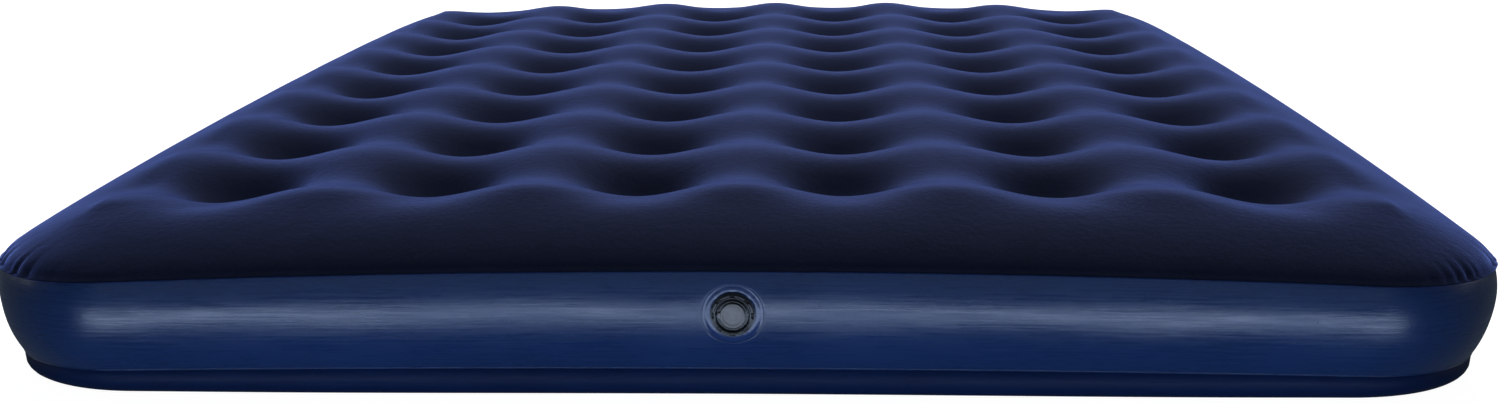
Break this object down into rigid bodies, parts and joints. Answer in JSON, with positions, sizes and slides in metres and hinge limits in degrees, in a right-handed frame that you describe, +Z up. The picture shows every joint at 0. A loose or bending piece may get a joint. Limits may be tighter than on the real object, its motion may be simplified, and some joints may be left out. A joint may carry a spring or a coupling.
{
  "type": "air mattress",
  "caption": "Inflatable queen-size bed: flocked top sheet tied to a vinyl bottom sheet by a grid of coil beams, vinyl side band, and a two-in-one screw valve in the end wall.",
  "frame": {"origin": "on the floor, under the middle of the mattress", "axes": "+Z up, +Y from the valve's end wall towards the far end, +X to the right when facing the valve"},
  "size_m": [1.5198, 2.0298, 0.19],
  "materials": {
    "flocked_top": "navy velvet flock on vinyl film",
    "blue_vinyl": "satin vinyl film, finely streaked along the band",
    "bottom_vinyl": "satin vinyl film with a fine grain",
    "beam_vinyl": "plain vinyl film",
    "collar_vinyl": "moulded soft vinyl, semi-gloss",
    "valve_plastic": "black moulded polyethylene, semi-gloss",
    "plug_plastic": "dark grey moulded polyethylene",
    "valve_rubber": "black rubber"
  },
  "bodies": {
    "mattress": {"top_sheet": "flocked_top", "side_band": "blue_vinyl", "valve_panel": "blue_vinyl", "bottom_sheet": "bottom_vinyl", "coil_beam_r1_c1": "beam_vinyl", "coil_beam_r1_c2": "beam_vinyl", "coil_beam_r1_c3": "beam_vinyl", "coil_beam_r1_c4": "beam_vinyl", "coil_beam_r1_c5": "beam_vinyl", "coil_beam_r1_c6": "beam_vinyl", "coil_beam_r2_c1": "beam_vinyl", "coil_beam_r2_c2": "beam_vinyl", "coil_beam_r2_c3": "beam_vinyl", "coil_beam_r2_c4": "beam_vinyl", "coil_beam_r2_c5": "beam_vinyl", "coil_beam_r2_c6": "beam_vinyl", "coil_beam_r3_c1": "beam_vinyl", "coil_beam_r3_c2": "beam_vinyl", "coil_beam_r3_c3": "beam_vinyl", "coil_beam_r3_c4": "beam_vinyl", "coil_beam_r3_c5": "beam_vinyl", "coil_beam_r3_c6": "beam_vinyl", "coil_beam_r4_c1": "beam_vinyl", "coil_beam_r4_c2": "beam_vinyl", "coil_beam_r4_c3": "beam_vinyl", "coil_beam_r4_c4": "beam_vinyl", "coil_beam_r4_c5": "beam_vinyl", "coil_beam_r4_c6": "beam_vinyl", "coil_beam_r5_c1": "beam_vinyl", "coil_beam_r5_c2": "beam_vinyl", "coil_beam_r5_c3": "beam_vinyl", "coil_beam_r5_c4": "beam_vinyl", "coil_beam_r5_c5": "beam_vinyl", "coil_beam_r5_c6": "beam_vinyl", "coil_beam_r6_c1": "beam_vinyl", "coil_beam_r6_c2": "beam_vinyl", "coil_beam_r6_c3": "beam_vinyl", "coil_beam_r6_c4": "beam_vinyl", "coil_beam_r6_c5": "beam_vinyl", "coil_beam_r6_c6": "beam_vinyl", "coil_beam_r7_c1": "beam_vinyl", "coil_beam_r7_c2": "beam_vinyl", "coil_beam_r7_c3": "beam_vinyl", "coil_beam_r7_c4": "beam_vinyl", "coil_beam_r7_c5": "beam_vinyl", "coil_beam_r7_c6": "beam_vinyl", "coil_beam_r8_c1": "beam_vinyl", "coil_beam_r8_c2": "beam_vinyl", "coil_beam_r8_c3": "beam_vinyl", "coil_beam_r8_c4": "beam_vinyl", "coil_beam_r8_c5": "beam_vinyl", "coil_beam_r8_c6": "beam_vinyl", "valve_collar": "collar_vinyl", "valve_body": "valve_plastic", "flap_seat": "valve_plastic"},
    "seal": {"cap_gasket": "valve_rubber"},
    "cap": {"screw_cap": "valve_plastic"},
    "plug": {"centre_plug": "plug_plastic"},
    "flap": {"check_flap": "valve_rubber"}
  },
  "joints": [
    {"name": "cap_lift", "type": "slide", "parent": "mattress", "child": "seal", "axis": [0, -1, 0], "range_m": [0, 0.011]},
    {"name": "cap_turn", "type": "hinge", "parent": "seal", "child": "cap", "pos_m": [0, -1.00009, 0.089], "axis": [0, -1, 0], "range_deg": [0, 990]},
    {"name": "plug_swing", "type": "hinge", "parent": "cap", "child": "plug", "pos_m": [-0.0145, -1.00569, 0.089], "axis": [0, 0, -1], "range_deg": [0, 120]},
    {"name": "flap_swing", "type": "hinge", "parent": "mattress", "child": "flap", "pos_m": [0, -0.98529, 0.102], "axis": [1, 0, 0], "range_deg": [0, 60], "stiffness_Nm_per_rad": 0.001}
  ],
  "couplings": [
    {"joint": "cap_lift", "follows": "cap_turn", "m_per_rad": 0.0006366}
  ]
}
